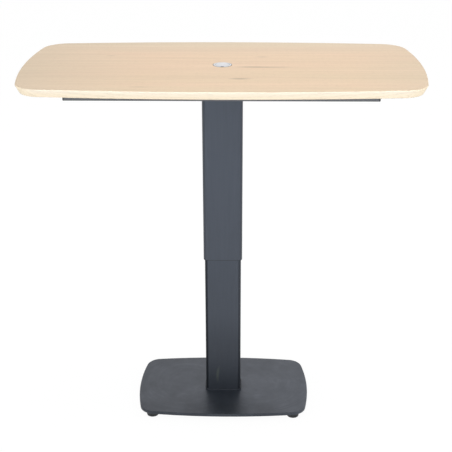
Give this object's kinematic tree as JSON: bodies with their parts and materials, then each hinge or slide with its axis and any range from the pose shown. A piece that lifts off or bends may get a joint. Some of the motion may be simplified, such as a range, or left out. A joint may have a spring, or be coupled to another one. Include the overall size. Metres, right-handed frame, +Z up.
{
  "type": "height-adjustable table",
  "caption": "Height-adjustable table: bowed rectangular wooden top on a telescopic column with a flush release button, on a rounded base plate with levelling feet.",
  "frame": {"origin": "on the floor, on the axis of the column", "axes": "+X along the top's length, +Y from the front to the back, +Z up"},
  "size_m": [1.2, 0.6, 1.158],
  "materials": {
    "wood": "clear satin lacquer",
    "grey_paint": "satin powder coat",
    "frame_paint": "satin powder coat",
    "dark_plastic": "moulded, matte",
    "bare_steel": "machined",
    "black_paint": "semi-gloss",
    "bright_metal": "polished",
    "rubber": "moulded, matte"
  },
  "bodies": {
    "base": {"base_plate": "grey_paint", "column_flange": "grey_paint", "inner_column": "grey_paint", "upper_glide": "dark_plastic", "cylinder_seat": "bare_steel", "gas_spring_cylinder": "black_paint", "gas_spring_gland": "bare_steel", "rod_seal": "rubber", "foot_nut_fl": "bare_steel", "foot_nut_fr": "bare_steel", "foot_nut_rl": "bare_steel", "foot_nut_rr": "bare_steel"},
    "lift": {"outer_column": "grey_paint", "lower_glide": "dark_plastic", "head_plate": "frame_paint", "front_rail": "frame_paint", "rear_rail": "frame_paint", "left_cross_bar": "frame_paint", "right_cross_bar": "frame_paint", "front_rail_cap_left": "dark_plastic", "front_rail_cap_right": "dark_plastic", "rear_rail_cap_left": "dark_plastic", "rear_rail_cap_right": "dark_plastic", "table_top": "wood", "gas_spring_rod": "bright_metal", "gas_spring_piston": "bare_steel", "piston_seal": "rubber", "rod_nut_upper": "bare_steel", "rod_nut_lower": "bare_steel", "button_bezel": "bright_metal", "bezel_nut": "dark_plastic"},
    "button": {"button_cap": "bright_metal", "push_rod": "bare_steel", "button_spring": "bare_steel"},
    "release": {"release_pin": "bare_steel"},
    "foot_fl": {"foot_pad_fl": "dark_plastic"},
    "stud_fl": {"foot_stud_fl": "bare_steel"},
    "foot_fr": {"foot_pad_fr": "dark_plastic"},
    "stud_fr": {"foot_stud_fr": "bare_steel"},
    "foot_rl": {"foot_pad_rl": "dark_plastic"},
    "stud_rl": {"foot_stud_rl": "bare_steel"},
    "foot_rr": {"foot_pad_rr": "dark_plastic"},
    "stud_rr": {"foot_stud_rr": "bare_steel"}
  },
  "joints": [
    {"name": "column_lift", "type": "slide", "parent": "base", "child": "lift", "axis": [0, 0, 1], "range_m": [-0.4, 0]},
    {"name": "button_press", "type": "slide", "parent": "lift", "child": "button", "axis": [0, 0, -1], "range_m": [0, 0.006], "stiffness_N_per_m": 2000, "springref_m": -0.002, "deforming": ["button_spring"]},
    {"name": "pin_press", "type": "slide", "parent": "lift", "child": "release", "axis": [0, 0, -1], "range_m": [0, 0.006]},
    {"name": "foot_level_fl", "type": "slide", "parent": "base", "child": "foot_fl", "axis": [0, 0, -1], "range_m": [0, 0.008]},
    {"name": "stud_turn_fl", "type": "hinge", "parent": "foot_fl", "child": "stud_fl", "pos_m": [-0.234, -0.138, 0.01], "axis": [0, 0, -1], "range_deg": [0, 1925]},
    {"name": "foot_level_fr", "type": "slide", "parent": "base", "child": "foot_fr", "axis": [0, 0, -1], "range_m": [0, 0.008]},
    {"name": "stud_turn_fr", "type": "hinge", "parent": "foot_fr", "child": "stud_fr", "pos_m": [0.234, -0.138, 0.01], "axis": [0, 0, -1], "range_deg": [0, 1925]},
    {"name": "foot_level_rl", "type": "slide", "parent": "base", "child": "foot_rl", "axis": [0, 0, -1], "range_m": [0, 0.008]},
    {"name": "stud_turn_rl", "type": "hinge", "parent": "foot_rl", "child": "stud_rl", "pos_m": [-0.234, 0.138, 0.01], "axis": [0, 0, -1], "range_deg": [0, 1925]},
    {"name": "foot_level_rr", "type": "slide", "parent": "base", "child": "foot_rr", "axis": [0, 0, -1], "range_m": [0, 0.008]},
    {"name": "stud_turn_rr", "type": "hinge", "parent": "foot_rr", "child": "stud_rr", "pos_m": [0.234, 0.138, 0.01], "axis": [0, 0, -1], "range_deg": [0, 1925]}
  ],
  "couplings": [
    {"joint": "pin_press", "follows": "button_press", "ratio": 1},
    {"joint": "stud_turn_fl", "follows": "foot_level_fl", "rad_per_m": 4188.8},
    {"joint": "stud_turn_fr", "follows": "foot_level_fr", "rad_per_m": 4188.8},
    {"joint": "stud_turn_rl", "follows": "foot_level_rl", "rad_per_m": 4188.8},
    {"joint": "stud_turn_rr", "follows": "foot_level_rr", "rad_per_m": 4188.8}
  ]
}
